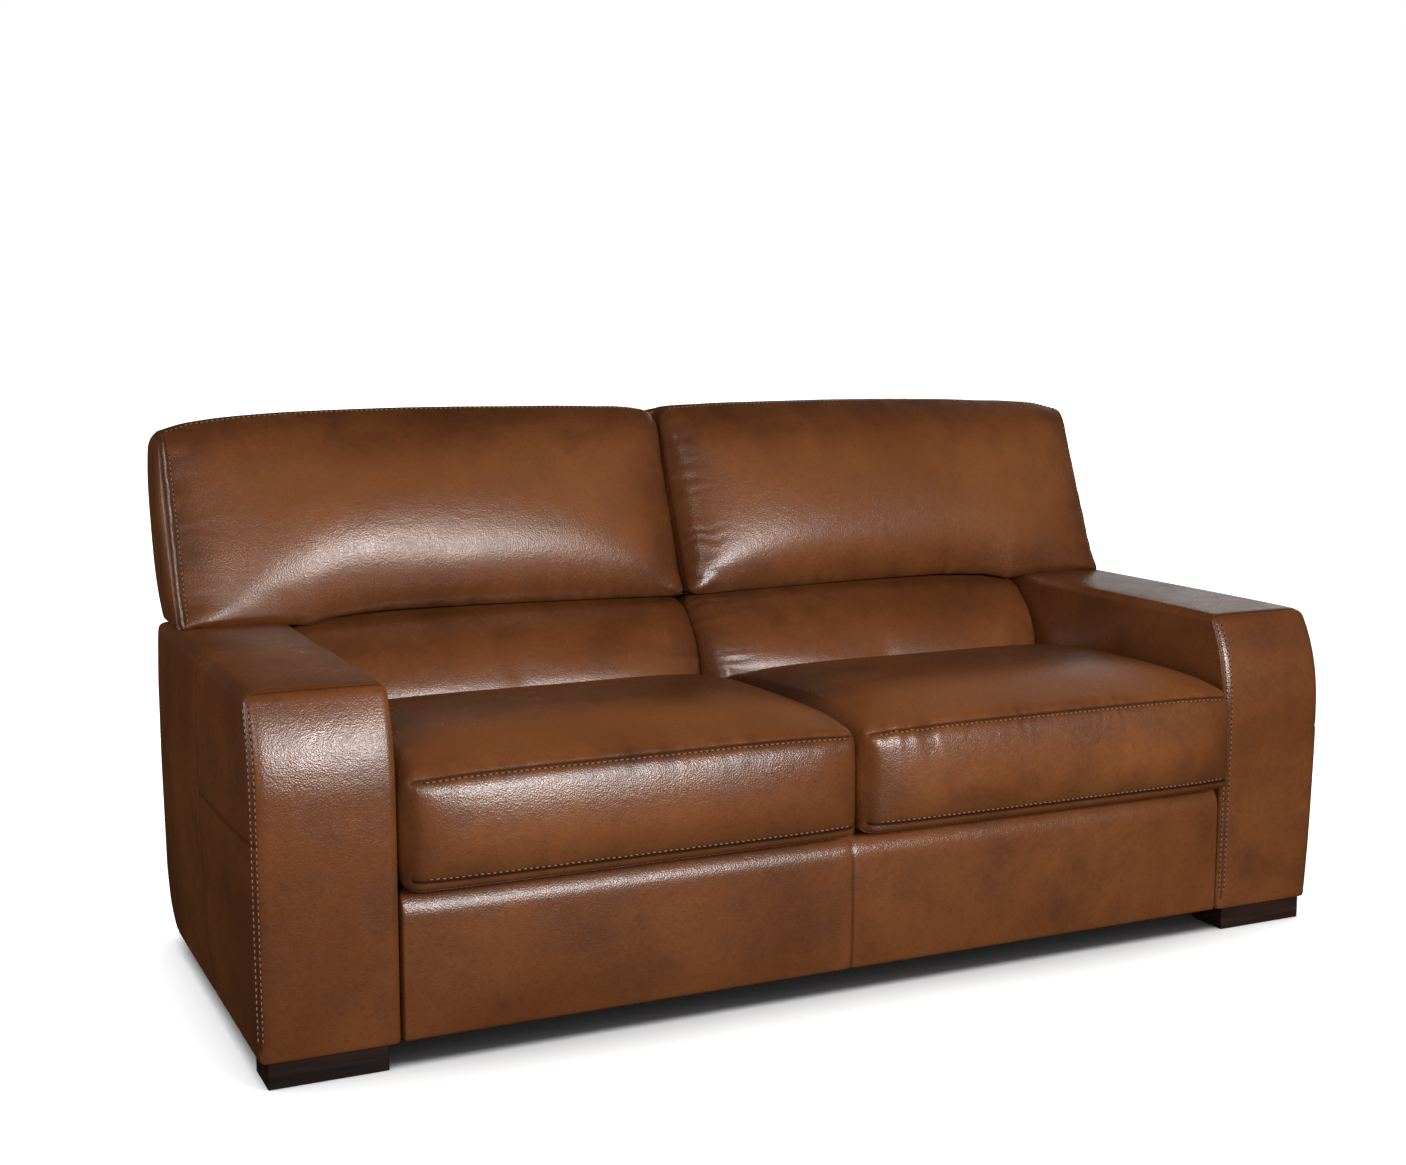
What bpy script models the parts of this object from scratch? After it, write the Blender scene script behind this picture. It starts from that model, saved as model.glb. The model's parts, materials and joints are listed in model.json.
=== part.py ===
"""Two-cushion leather sofa on low block feet, built as a bench-made sofa is built.

Metres, +Z up. X runs along the width, the front faces -Y, and the origin is on the floor at the
middle of the overall box. Depths are measured back from the plane of the arm fronts.
"""

import math

import bmesh
import bpy
from mathutils import Matrix, Vector

# Overall sizes
HALF_WIDTH = 1.03
ARM_WIDTH = 0.225
ARM_DEPTH = 0.86
ARM_TOP = 0.61
CLEARANCE = 0.0502
SEAT_PROUD = 0.0546
REARMOST = 0.9395
OVERALL_DEPTH = REARMOST + SEAT_PROUD
ARM_FRONT_Y = SEAT_PROUD - OVERALL_DEPTH / 2

# Clearances between touching pieces
FIT = 0.0003
REVEAL = 0.0015
FOAM_GAP = 0.002

# Seat
ARM_INNER = HALF_WIDTH - ARM_WIDTH
SEAT_HALF = ARM_INNER - 0.002
DECK_TOP = 0.280
SEAT_BOTTOM = 0.288
SEAT_SEAM = 0.467
SEAT_REAR = 0.568
SEAT_FRONT = -0.045

# Back
LUMBAR_TOP = 0.600
LUMBAR_FRONT = 0.592
LUMBAR_REAR = 0.780
BACK_HALF = 1.010
BACK_BOTTOM = 0.612
BACK_TOP = 0.987
BACK_REAR_TOP = 0.945
POST_TOP = 0.944
POST_FRONT = 0.812
POST_FOOT_FRONT = 0.785
LUMBAR_RAIL_FRONT = 0.7845
POST_REAR = 0.850
BACK_LEAN = 0.206
LUMBAR_RAIL_TOP = 0.700

END_BOARD_INNER = 0.895
END_BOARD_FOOT = 0.635
BACK_RAIL_HALF = END_BOARD_INNER + 0.025
WEB_FOOT = 0.655
WEB_TOP = 0.938

# Stock sizes
BOARD = 0.025
PANEL = 0.018
LEATHER = 0.002
PADDED_LEATHER = 0.010
RAIL_PADDING = 0.008
CLOTH = 0.0015
DECK_CLOTH = 0.003
EASED_EDGE = 0.001
FOOT_EASED_EDGE = 0.0015

# Seat box
RAIL_FRONT = 0.012
RAIL_BOTTOM = 0.054
RAIL_TOP = 0.270
RAIL_HALF = 0.795
RAIL_COVER_TOP = 0.285
RAIL_COVER_REAR = 0.058
CORNER_LEG = 0.070
CORNER_LOW = 0.110
CORNER_HEIGHT = 0.140
SPRING_RAIL_FRONT = 0.672
SPRING_RAIL_BOTTOM = 0.168
DECK_FRONT = 0.062
DECK_REAR = 0.756
DUST_BOTTOM = 0.0483
DUST_FRONT = 0.014
DUST_SHOULDER = 0.770
DUST_REAR = 0.845
DUST_INSET = 0.030

# Arm boards
ARM_PADDING = 0.017
ARM_UNDER_TOP = 0.5567
ARM_FRONT_BOARD_TOP = 0.535
ARM_BOARD_REAR = 0.835
ARM_TOP_BOARD_FRONT = 0.085
ARM_HEEL_DEPTH = 0.755
ARM_HEEL_HEIGHT = 0.150
ARM_BROW_DEPTH = 0.030
ARM_BROW_HEIGHT = 0.500
ARM_EDGE = 0.032

# Springs
SPRINGS_PER_SEAT = 4
SPRING_WIRE = 0.0038
SPRING_WIDTH = 0.050
SPRING_PITCH = 0.040
SPRING_Z = 0.2735
SPRING_FRONT = 0.030
SPRING_REAR = 0.686
SPRING_LEAD = 0.010
SPRING_SHIFT = 0.012

# Feet
FOOT_WIDTH = 0.190
FOOT_DEPTH = 0.085
FOOT_HEIGHT = 0.048
BOLT_RADIUS = 0.004
BOLT_FOOT = 0.012
BOLT_TOP = 0.100
BOLT_HOLE = BOLT_RADIUS + 0.0004
FRONT_FOOT_INSET = 0.016
FRONT_FOOT_DEPTH = 0.008
REAR_FOOT_INSET = 0.045
REAR_FOOT_DEPTH = 0.680
DRILL_OVERRUN = 0.010

# Elastic webbing
STRAP_WIDTH = 0.060
STRAP_GAP = 0.100
STRAP_COUNT = 12

SIDES = (("left", -1), ("right", 1))


def depth(value):
    """World Y of a depth measured back from the arm fronts."""
    return ARM_FRONT_Y + value


def ramp(value, points):
    """Straight-line interpolation through (position, result) pairs, held level past the ends."""
    if value <= points[0][0]:
        return points[0][1]
    for (low, first), (high, second) in zip(points, points[1:]):
        if value <= high:
            return first + (second - first) * (value - low) / (high - low)
    return points[-1][1]


def clear_scene():
    for obj in list(bpy.data.objects):
        bpy.data.objects.remove(obj, do_unlink=True)


def make_collection(name):
    collection = bpy.data.collections.new(name)
    bpy.context.scene.collection.children.link(collection)
    return collection


def make_material(name, colour, roughness, metallic=0.0):
    material = bpy.data.materials.new(name)
    material.use_nodes = True
    shader = material.node_tree.nodes["Principled BSDF"]
    shader.inputs["Base Color"].default_value = (*colour, 1.0)
    shader.inputs["Roughness"].default_value = roughness
    shader.inputs["Metallic"].default_value = metallic
    return material


def add_object(name, data, material):
    obj = bpy.data.objects.new(name, data)
    data.materials.append(material)
    sofa.objects.link(obj)
    return obj


def finish_mesh(name, mesh_builder, material):
    mesh = bpy.data.meshes.new(name)
    mesh_builder.to_mesh(mesh)
    mesh_builder.free()
    mesh.shade_smooth()
    mesh.set_sharp_from_angle(angle=math.radians(35))
    return add_object(name, mesh, material)


def box(name, low, high, material, bevel=EASED_EDGE):
    """A board between two corners, with its edges eased."""
    builder = bmesh.new()
    bmesh.ops.create_cube(builder, size=1.0)
    low, high = Vector(low), Vector(high)
    size = high - low
    for vert in builder.verts:
        vert.co = Vector(low[i] + (vert.co[i] + 0.5) * size[i] for i in range(3))
    obj = finish_mesh(name, builder, material)
    if bevel:
        eased = obj.modifiers.new("eased edges", "BEVEL")
        eased.width = bevel
        eased.segments = 1
    return obj


def outline_board(name, outline, low, thickness, along, material):
    """A board cut to a flat outline. It is `thickness` thick from `low` along X or Z."""
    curve = bpy.data.curves.new(name, "CURVE")
    curve.dimensions = "2D"
    curve.fill_mode = "BOTH"
    curve.extrude = thickness / 2
    spline = curve.splines.new("POLY")
    spline.points.add(len(outline) - 1)
    for point, (first, second) in zip(spline.points, outline):
        point.co = (first, second, 0.0, 1.0)
    spline.use_cyclic_u = True
    obj = add_object(name, curve, material)
    middle = low + thickness / 2
    if along == "X":
        obj.rotation_euler = (math.pi / 2, 0.0, math.pi / 2)
        obj.location = (middle, 0.0, 0.0)
    else:
        obj.location = (0.0, 0.0, middle)
    return obj


def swell(position):
    """A pad's fullness across one direction: none at either edge, one in the middle."""
    return 1.0 - (2.0 * position - 1.0) ** 2


def ticks(length, radius, count, ends):
    """Grid positions along one side. `ends` says which of its two edges is rounded."""
    low = radius if ends[0] else 0.0
    high = length - radius if ends[1] else length
    inner = [low + (high - low) * i / (count + 1) for i in range(count + 2)]
    return ([0.0] if ends[0] else []) + inner + ([length] if ends[1] else [])


def round_off(point, sizes, radius, rounded):
    """Pulls a point of a box's surface onto the same box with rounded edges."""
    core = []
    for value, size, ends in zip(point, sizes, rounded):
        low = radius if ends[0] else -radius
        high = size - radius if ends[1] else size + radius
        core.append(min(max(value, low), high))
    core = Vector(core)
    out = Vector(point) - core
    return core + out * (radius / out.length) if out.length > 1e-9 else core


def soft_block(name, across, up, front, rear, material, cuts, bulge, radius, inset=0.0, open_sides=()):
    """A padded block: a box with a shaped front and rear, swollen faces and rounded edges.

    `front` and `rear` give the depth at a height. `cuts` are the divisions along X, Y and Z.
    `bulge` is how far the front and the top stand proud. `open_sides` are the faces left out.
    """
    low_x, low_z = across[0] + inset, up[0] + inset
    middle = (up[0] + up[1]) / 2
    sizes = (across[1] - across[0] - 2 * inset, rear(middle) - front(middle) - 2 * inset,
             up[1] - up[0] - 2 * inset)
    rounded = ((True, True), ("front" not in open_sides, "rear" not in open_sides),
               ("bottom" not in open_sides, True))
    lines = [ticks(size, radius, count, ends) for size, count, ends in zip(sizes, cuts, rounded)]
    builder = bmesh.new()
    bmesh.ops.create_cube(builder, size=1.0)
    for axis, line in enumerate(lines):
        edges = [e for e in builder.edges if abs((e.verts[0].co - e.verts[1].co)[axis]) > 1e-6]
        bmesh.ops.subdivide_edges(builder, edges=edges, cuts=len(line) - 2, use_grid_fill=True)
    faces = {"front": (1, -0.5), "rear": (1, 0.5), "bottom": (2, -0.5)}
    for axis, level in (faces[side] for side in open_sides):
        gone = [f for f in builder.faces if all(abs(v.co[axis] - level) < 1e-6 for v in f.verts)]
        bmesh.ops.delete(builder, geom=gone, context="FACES")
    for vert in builder.verts:
        steps = [round((vert.co[i] + 0.5) * (len(lines[i]) - 1)) for i in range(3)]
        point = [lines[i][steps[i]] for i in range(3)]
        u, v, w = (point[i] / sizes[i] for i in range(3))
        x, y, z = round_off(point, sizes, radius, rounded)
        x, z = low_x + x, low_z + z
        near, far = front(z) + inset, rear(z) - inset
        y = near + (far - near) * y / sizes[1]
        if steps[1] == 0:
            y -= bulge.get("front", 0.0) * swell(u) * swell(w)
        if steps[2] == len(lines[2]) - 1:
            z += bulge.get("top", 0.0) * swell(u) * swell(v)
        vert.co = (x, depth(y), z)
    return finish_mesh(name, builder, material)


def hide_helper(obj):
    """Puts a helper with the cutters, out of the model."""
    for collection in list(obj.users_collection):
        collection.objects.unlink(obj)
    cutters.objects.link(obj)
    obj.hide_render = True
    obj.display_type = "WIRE"


def join(obj, other):
    """Sews another closed shape onto this one."""
    hide_helper(other)
    seam = obj.modifiers.new("joined", "BOOLEAN")
    seam.operation = "UNION"
    seam.solver = "EXACT"
    seam.object = other


def add_skin(obj, thickness):
    """Turns an open surface into a shell that grows inwards."""
    skin = obj.modifiers.new("skin", "SOLIDIFY")
    skin.thickness = thickness
    skin.offset = -1.0
    skin.use_even_offset = True
    return obj


def sheet(name, columns, rows, thickness, material, keep=None):
    """A sheet across X that follows (depth, height) rows, thickened behind its outer face."""
    builder = bmesh.new()
    grid = [[builder.verts.new((x, depth(y), z)) for x in columns] for y, z in rows]
    for i in range(len(rows) - 1):
        for j in range(len(columns) - 1):
            if keep is None or keep(i, j):
                corners = (grid[i][j], grid[i][j + 1], grid[i + 1][j + 1], grid[i + 1][j])
                builder.faces.new(corners)
    loose = [v for v in builder.verts if not v.link_faces]
    bmesh.ops.delete(builder, geom=loose, context="VERTS")
    return add_skin(finish_mesh(name, builder, material), thickness)


def drill(obj, x, y, low, high, radius):
    """Cuts a round hole along Z with a separate cutter."""
    builder = bmesh.new()
    size = high - low
    bmesh.ops.create_cone(
        builder, cap_ends=True, segments=16, radius1=radius, radius2=radius, depth=size,
        matrix=Matrix.Translation((x, y, low + size / 2)),
    )
    mesh = bpy.data.meshes.new(obj.name + "_drill")
    builder.to_mesh(mesh)
    builder.free()
    cutter = bpy.data.objects.new(obj.name + "_drill", mesh)
    hide_helper(cutter)
    cut = obj.modifiers.new("bolt hole", "BOOLEAN")
    cut.operation = "DIFFERENCE"
    cut.solver = "EXACT"
    cut.object = cutter


def mirrored(sign, inner, outer):
    """The X range between two distances from the middle, on one side."""
    return tuple(sorted((sign * inner, sign * outer)))


# Shapes of the soft fronts, as depth against height


def arm_front(z):
    return ramp(z, [(0.40, 0.0), (0.48, 0.006), (0.56, 0.024), (0.61, 0.050)])


def arm_rear(z):
    return ARM_DEPTH - ramp(z, [(0.048, 0.085), (0.060, 0.052), (0.085, 0.022), (0.14, 0.0)])


def seat_front(z):
    return SEAT_FRONT


def seat_rear(z):
    return SEAT_REAR


def lumbar_front(z):
    return LUMBAR_FRONT + ramp(z, [(0.45, 0.0), (0.55, 0.050), (0.60, 0.108)])


def lumbar_rear(z):
    return LUMBAR_REAR


def back_front(z):
    return ramp(z, [(BACK_BOTTOM, 0.668), (BACK_TOP, 0.832)])


def web_depth(z):
    return ramp(z, [(LUMBAR_RAIL_TOP, LUMBAR_RAIL_FRONT - 0.002), (POST_TOP, 0.879)])


def back_foam_rear(z):
    return ramp(z, [(BACK_BOTTOM, 0.752), (BACK_TOP, 0.868)])


def back_wrap_front(z):
    return back_foam_rear(z) + 0.001


def back_wrap_rear(z):
    return ramp(z, [(BACK_BOTTOM, ARM_DEPTH), (BACK_TOP, BACK_REAR_TOP)])


def build_base():
    """The seat box: front and rear rails, side rails, a spring rail, a spine and corner blocks."""
    front_back = RAIL_FRONT + BOARD
    rear_front = POST_REAR - BOARD
    box("base_front_rail", (-RAIL_HALF, depth(RAIL_FRONT), RAIL_BOTTOM),
        (RAIL_HALF, depth(front_back), RAIL_TOP), timber)
    box("base_rear_rail", (-RAIL_HALF, depth(rear_front), RAIL_BOTTOM),
        (RAIL_HALF, depth(POST_REAR), RAIL_TOP), timber)
    between = (front_back + FIT, rear_front - FIT)
    for side, sign in SIDES:
        x = mirrored(sign, RAIL_HALF - BOARD, RAIL_HALF)
        box(f"base_{side}_rail", (x[0], depth(between[0]), RAIL_BOTTOM),
            (x[1], depth(between[1]), RAIL_TOP), timber)
        inner = sign * (RAIL_HALF - BOARD - FIT)
        corner = depth(between[0])
        outline = [(inner, corner), (inner - sign * CORNER_LEG, corner), (inner, corner + CORNER_LEG)]
        outline_board(f"corner_block_{side}", outline, CORNER_LOW, CORNER_HEIGHT, "Z", timber)
    inside = RAIL_HALF - BOARD - FIT
    box("base_spring_rail", (-inside, depth(SPRING_RAIL_FRONT), SPRING_RAIL_BOTTOM),
        (inside, depth(SPRING_RAIL_FRONT + BOARD), RAIL_TOP), timber)
    box("base_spine_rail", (-BOARD / 2, depth(between[0]), RAIL_BOTTOM),
        (BOARD / 2, depth(between[1]), SPRING_RAIL_BOTTOM - FIT), timber)


def build_springs():
    """Flat zigzag springs from the front rail to the spring rail, side by side under each seat."""
    length = SPRING_REAR - SPRING_FRONT
    bends = int((length - 2 * SPRING_LEAD) / SPRING_PITCH)
    start = SPRING_FRONT + (length - bends * SPRING_PITCH) / 2
    for side, sign in SIDES:
        for number in range(SPRINGS_PER_SEAT):
            centre = sign * (SPRING_SHIFT + (RAIL_HALF - BOARD) * (number + 0.5) / SPRINGS_PER_SEAT)
            path = [(0.0, SPRING_FRONT)]
            swing = SPRING_WIDTH / 2
            for bend in range(bends + 1):
                y = start + bend * SPRING_PITCH
                path.append((-swing, y))
                path.append((swing, y))
                swing = -swing
            path.append((0.0, SPRING_REAR))
            curve = bpy.data.curves.new(f"seat_spring_{side}_{number + 1}", "CURVE")
            curve.dimensions = "3D"
            curve.bevel_depth = SPRING_WIRE / 2
            curve.bevel_resolution = 2
            curve.use_fill_caps = True
            spline = curve.splines.new("POLY")
            spline.points.add(len(path) - 1)
            for point, (x, y) in zip(spline.points, path):
                point.co = (centre + x, depth(y), SPRING_Z, 1.0)
            add_object(curve.name, curve, steel)


def build_cloths():
    """The platform cloth over the springs and the dust cover under the frame."""
    box("seat_deck_cloth", (-RAIL_HALF, depth(DECK_FRONT), DECK_TOP - DECK_CLOTH),
        (RAIL_HALF, depth(DECK_REAR), DECK_TOP), cloth, bevel=0)
    edge, inner = HALF_WIDTH - DUST_INSET, RAIL_HALF + 0.002
    level = DUST_BOTTOM + CLOTH
    rows = [(DUST_FRONT, level), (DUST_SHOULDER, level), (DUST_REAR, level)]
    dust = sheet("dust_cover", [-edge, -inner, inner, edge], rows, CLOTH, cloth,
                 keep=lambda i, j: i == 0 or j == 1)
    for x, y in bolt_places():
        drill(dust, x, y, DUST_BOTTOM - DRILL_OVERRUN, DUST_BOTTOM + DRILL_OVERRUN, BOLT_HOLE + 0.001)


def foot_places():
    """(side, end, outer edge, front edge) of each foot. The rear pair is set further in."""
    for side, sign in SIDES:
        yield side, "front", sign, HALF_WIDTH - FRONT_FOOT_INSET, FRONT_FOOT_DEPTH
        yield side, "rear", sign, HALF_WIDTH - REAR_FOOT_INSET, REAR_FOOT_DEPTH


def bolt_places():
    for _, _, sign, outer, front in foot_places():
        yield sign * (outer - FOOT_WIDTH / 2), depth(front + FOOT_DEPTH / 2)


def build_feet():
    """Four solid block feet, each held by a bolt up into an arm board."""
    for (side, end, sign, outer, front), (bolt_x, bolt_y) in zip(foot_places(), bolt_places()):
        x = mirrored(sign, outer - FOOT_WIDTH, outer)
        foot = box(f"foot_{end}_{side}", (x[0], depth(front), 0.0),
                   (x[1], depth(front + FOOT_DEPTH), FOOT_HEIGHT), dark_wood, bevel=FOOT_EASED_EDGE)
        drill(foot, bolt_x, bolt_y, BOLT_FOOT - FIT, FOOT_HEIGHT + DRILL_OVERRUN, BOLT_HOLE)
        builder = bmesh.new()
        length = BOLT_TOP - BOLT_FOOT
        bmesh.ops.create_cone(
            builder, cap_ends=True, segments=12, radius1=BOLT_RADIUS, radius2=BOLT_RADIUS, depth=length,
            matrix=Matrix.Translation((bolt_x, bolt_y, BOLT_FOOT + length / 2)),
        )
        finish_mesh(f"foot_bolt_{end}_{side}", builder, steel)


def build_arms():
    """Each arm is a box of boards under one padded leather cover that is open underneath."""
    outer, inner = HALF_WIDTH - ARM_PADDING, ARM_INNER + ARM_PADDING
    front_bolt = FRONT_FOOT_DEPTH + FOOT_DEPTH / 2
    rear_bolt = REAR_FOOT_DEPTH + FOOT_DEPTH / 2
    panel_front = front_bolt + PANEL / 2 + FIT
    side_outline = [
        (depth(panel_front), RAIL_BOTTOM), (depth(ARM_HEEL_DEPTH), RAIL_BOTTOM),
        (depth(ARM_BOARD_REAR), ARM_HEEL_HEIGHT), (depth(ARM_BOARD_REAR), ARM_UNDER_TOP),
        (depth(panel_front + ARM_BROW_DEPTH), ARM_UNDER_TOP), (depth(panel_front), ARM_BROW_HEIGHT),
    ]
    for side, sign in SIDES:
        x = mirrored(sign, inner, outer)
        between = mirrored(sign, inner + PANEL + FIT, outer - PANEL - FIT)
        cross_boards = (
            ("front", x, front_bolt, FRONT_FOOT_INSET, ARM_FRONT_BOARD_TOP),
            ("rear", between, rear_bolt, REAR_FOOT_INSET, ARM_UNDER_TOP),
        )
        for end, across, bolt_depth, foot_inset, top in cross_boards:
            board = box(f"arm_{end}_board_{side}", (across[0], depth(bolt_depth - PANEL / 2), RAIL_BOTTOM),
                        (across[1], depth(bolt_depth + PANEL / 2), top), plywood)
            bolt_x = sign * (HALF_WIDTH - foot_inset - FOOT_WIDTH / 2)
            drill(board, bolt_x, depth(bolt_depth), RAIL_BOTTOM - DRILL_OVERRUN, BOLT_TOP + FIT, BOLT_HOLE)
        for face, low, high in (("outer", outer - PANEL, outer), ("inner", inner, inner + PANEL)):
            span = mirrored(sign, low, high)
            outline_board(f"arm_{face}_board_{side}", side_outline, span[0], PANEL, "X", plywood)
        top_low = ARM_UNDER_TOP + FIT
        box(f"arm_top_board_{side}", (x[0], depth(ARM_TOP_BOARD_FRONT), top_low),
            (x[1], depth(ARM_BOARD_REAR), top_low + PANEL), plywood)
        cover = soft_block(f"arm_cover_{side}", mirrored(sign, ARM_INNER, HALF_WIDTH), (CLEARANCE, ARM_TOP),
                           arm_front, arm_rear, leather, (1, 4, 6), {}, ARM_EDGE, open_sides=("bottom",))
        add_skin(cover, PADDED_LEATHER)


def build_back_frame():
    """Three raked posts joined by a top rail and a lumbar rail, with end boards over the arms."""
    lean = (POST_TOP - LUMBAR_TOP) * BACK_LEAN
    foot = RAIL_TOP + FIT
    post = [(depth(POST_FOOT_FRONT), foot), (depth(POST_REAR), foot), (depth(POST_REAR), LUMBAR_TOP),
            (depth(POST_REAR + lean), POST_TOP), (depth(POST_FRONT + lean), POST_TOP),
            (depth(POST_FRONT), LUMBAR_TOP)]
    for name, low in (("left", -RAIL_HALF), ("centre", -BOARD / 2), ("right", RAIL_HALF - BOARD)):
        outline_board(f"back_post_{name}", post, low, BOARD, "X", timber)
    rise = (END_BOARD_FOOT - LUMBAR_TOP) * BACK_LEAN
    end = [(depth(POST_FRONT + rise), END_BOARD_FOOT), (depth(POST_REAR + rise), END_BOARD_FOOT),
           (depth(POST_REAR + lean), POST_TOP), (depth(POST_FRONT + lean), POST_TOP)]
    for side, sign in SIDES:
        span = mirrored(sign, END_BOARD_INNER, END_BOARD_INNER + BOARD)
        outline_board(f"back_end_board_{side}", end, span[0], BOARD, "X", timber)
    rail_rear = POST_REAR + lean - 0.004
    box("back_top_rail", (-BACK_RAIL_HALF, depth(POST_FRONT + lean), POST_TOP + FIT),
        (BACK_RAIL_HALF, depth(rail_rear), POST_TOP + FIT + BOARD), timber)
    box("back_lumbar_rail", (-BACK_RAIL_HALF, depth(LUMBAR_RAIL_FRONT), END_BOARD_FOOT),
        (BACK_RAIL_HALF, depth(LUMBAR_RAIL_FRONT + BOARD), LUMBAR_RAIL_TOP), timber)


def build_back_webbing():
    """Elastic straps up the back from rail to rail, sewn to two straps across."""
    pitch = STRAP_WIDTH + STRAP_GAP
    left = -(STRAP_COUNT * pitch - STRAP_GAP) / 2
    columns = []
    for number in range(STRAP_COUNT):
        columns += [left + number * pitch, left + number * pitch + STRAP_WIDTH]
    heights = [WEB_FOOT, LUMBAR_RAIL_TOP, 0.740, 0.795, 0.850, 0.905, WEB_TOP]
    rows = [(web_depth(z), z) for z in heights]
    crossing = (2, 4)
    sheet("back_webbing", columns, rows, CLOTH, webbing, keep=lambda i, j: j % 2 == 0 or i in crossing)


def padded_cushion(name, side, across, up, front, rear, shape, fullness):
    """A leather cover, open at the rear, over its foam block. `fullness` gives both their bulges."""
    cuts, radius = shape
    cover_bulge, foam_bulge = fullness
    cover = soft_block(f"{name}_cover_{side}", across, up, front, rear, leather,
                       cuts, cover_bulge, radius, open_sides=("rear",))
    add_skin(cover, LEATHER)
    soft_block(f"{name}_foam_{side}", across, up, front, rear, foam,
               cuts, foam_bulge, radius, inset=LEATHER + FOAM_GAP)


def build_cushions():
    """The loose seats, the low back pads between the arms, and the tall cushions over the arm tops."""
    for side, sign in SIDES:
        between_arms = mirrored(sign, REVEAL, SEAT_HALF)
        over_arms = mirrored(sign, REVEAL, BACK_HALF)
        padded_cushion("seat", side, between_arms, (SEAT_BOTTOM, SEAT_SEAM), seat_front, seat_rear,
                       ((4, 3, 1), 0.024), ({"front": 0.010, "top": 0.036}, {"front": 0.009, "top": 0.028}))
        padded_cushion("lumbar", side, between_arms, (DECK_TOP + 0.003, LUMBAR_TOP), lumbar_front,
                       lumbar_rear, ((3, 0, 4), 0.022), ({"front": 0.016}, {"front": 0.012}))
        padded_cushion("back", side, over_arms, (BACK_BOTTOM, BACK_TOP), back_front, back_foam_rear,
                       ((4, 0, 3), 0.024), ({"front": 0.038}, {"front": 0.033}))


def build_outer_covers():
    """The leather over the front rail and the one over the whole outside back."""
    rail = [(0.008, CLEARANCE), (0.003, CLEARANCE + 0.002), (0.0, CLEARANCE + 0.008), (0.0, RAIL_TOP),
            (0.004, RAIL_COVER_TOP - 0.005), (0.014, RAIL_COVER_TOP), (RAIL_COVER_REAR, RAIL_COVER_TOP)]
    rail_edge = ARM_INNER - 0.001
    sheet("front_rail_cover", [-rail_edge, 0.0, rail_edge], rail, RAIL_PADDING, leather)
    wrap = soft_block("outside_back_cover", (-BACK_HALF, BACK_HALF), (BACK_BOTTOM, BACK_TOP), back_wrap_front,
                      back_wrap_rear, leather, (3, 0, 2), {}, 0.024, open_sides=("front", "bottom"))
    add_skin(wrap, LEATHER)
    lap = BACK_BOTTOM + 0.012
    edge = ARM_INNER - 0.003
    rows = [(ARM_DEPTH, RAIL_BOTTOM), (ARM_DEPTH, BACK_BOTTOM), (back_wrap_rear(lap), lap)]
    apron = sheet("outside_back_apron", [edge, -edge], rows, LEATHER, leather)
    join(wrap, apron)


clear_scene()
sofa = make_collection("leather_sofa")
cutters = make_collection("cutters")
leather = make_material("cognac leather", (0.205, 0.078, 0.030), 0.42)
foam = make_material("seat foam", (0.80, 0.74, 0.52), 0.95)
timber = make_material("pine rails", (0.62, 0.42, 0.23), 0.70)
plywood = make_material("plywood boards", (0.68, 0.50, 0.30), 0.70)
dark_wood = make_material("espresso stained feet", (0.030, 0.014, 0.010), 0.40)
steel = make_material("zinc plated steel", (0.55, 0.55, 0.56), 0.35, 1.0)
cloth = make_material("black lining cloth", (0.018, 0.018, 0.020), 0.90)
webbing = make_material("elastic webbing", (0.50, 0.43, 0.32), 0.85)

build_base()
build_springs()
build_cloths()
build_feet()
build_arms()
build_back_frame()
build_back_webbing()
build_cushions()
build_outer_covers()
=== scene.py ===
"""Looks of the two-cushion leather sofa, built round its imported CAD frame.

Metres, +Z up. X runs along the width and the front faces -Y. Depths are measured back from the plane
of the arm fronts. Every leather piece starts as a rounded block of grid panels with its own shape. The
seats, lumbar pads and tall back cushions are then inflated as cloth that is held along their seams.
Every piece is subdivided next, and its puckers, seams and stitches are added last.
"""

import json
import math

import bpy
import numpy as np
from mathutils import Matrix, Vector, noise
from mathutils.bvhtree import BVHTree


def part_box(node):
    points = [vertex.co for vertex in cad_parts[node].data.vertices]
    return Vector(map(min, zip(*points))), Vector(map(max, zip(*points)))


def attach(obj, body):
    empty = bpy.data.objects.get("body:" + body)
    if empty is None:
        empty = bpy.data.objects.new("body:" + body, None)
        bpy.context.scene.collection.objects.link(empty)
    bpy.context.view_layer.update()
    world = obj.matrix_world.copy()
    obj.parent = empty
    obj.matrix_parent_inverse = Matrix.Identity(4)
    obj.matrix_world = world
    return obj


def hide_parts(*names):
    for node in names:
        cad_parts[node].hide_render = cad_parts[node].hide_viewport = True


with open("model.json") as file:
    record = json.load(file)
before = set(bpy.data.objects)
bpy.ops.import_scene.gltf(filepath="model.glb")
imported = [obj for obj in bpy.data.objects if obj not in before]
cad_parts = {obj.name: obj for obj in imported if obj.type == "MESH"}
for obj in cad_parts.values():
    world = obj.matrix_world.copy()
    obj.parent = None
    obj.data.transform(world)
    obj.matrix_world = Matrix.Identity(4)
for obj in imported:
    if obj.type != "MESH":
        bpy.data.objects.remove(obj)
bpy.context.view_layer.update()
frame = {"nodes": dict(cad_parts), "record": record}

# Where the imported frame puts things
ARM_FRONT_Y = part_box("front_rail_cover")[0].y
HALF_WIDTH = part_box("arm_cover_right")[1].x
ARM_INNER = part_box("arm_cover_right")[0].x
ARM_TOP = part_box("arm_cover_right")[1].z
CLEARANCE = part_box("arm_cover_right")[0].z
SEAT_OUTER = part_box("seat_cover_right")[1].x
SEAT_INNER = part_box("seat_cover_right")[0].x
SEAT_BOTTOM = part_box("seat_cover_right")[0].z
BACK_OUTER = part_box("back_cover_right")[1].x
RAIL_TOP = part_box("front_rail_cover")[1].z
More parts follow.
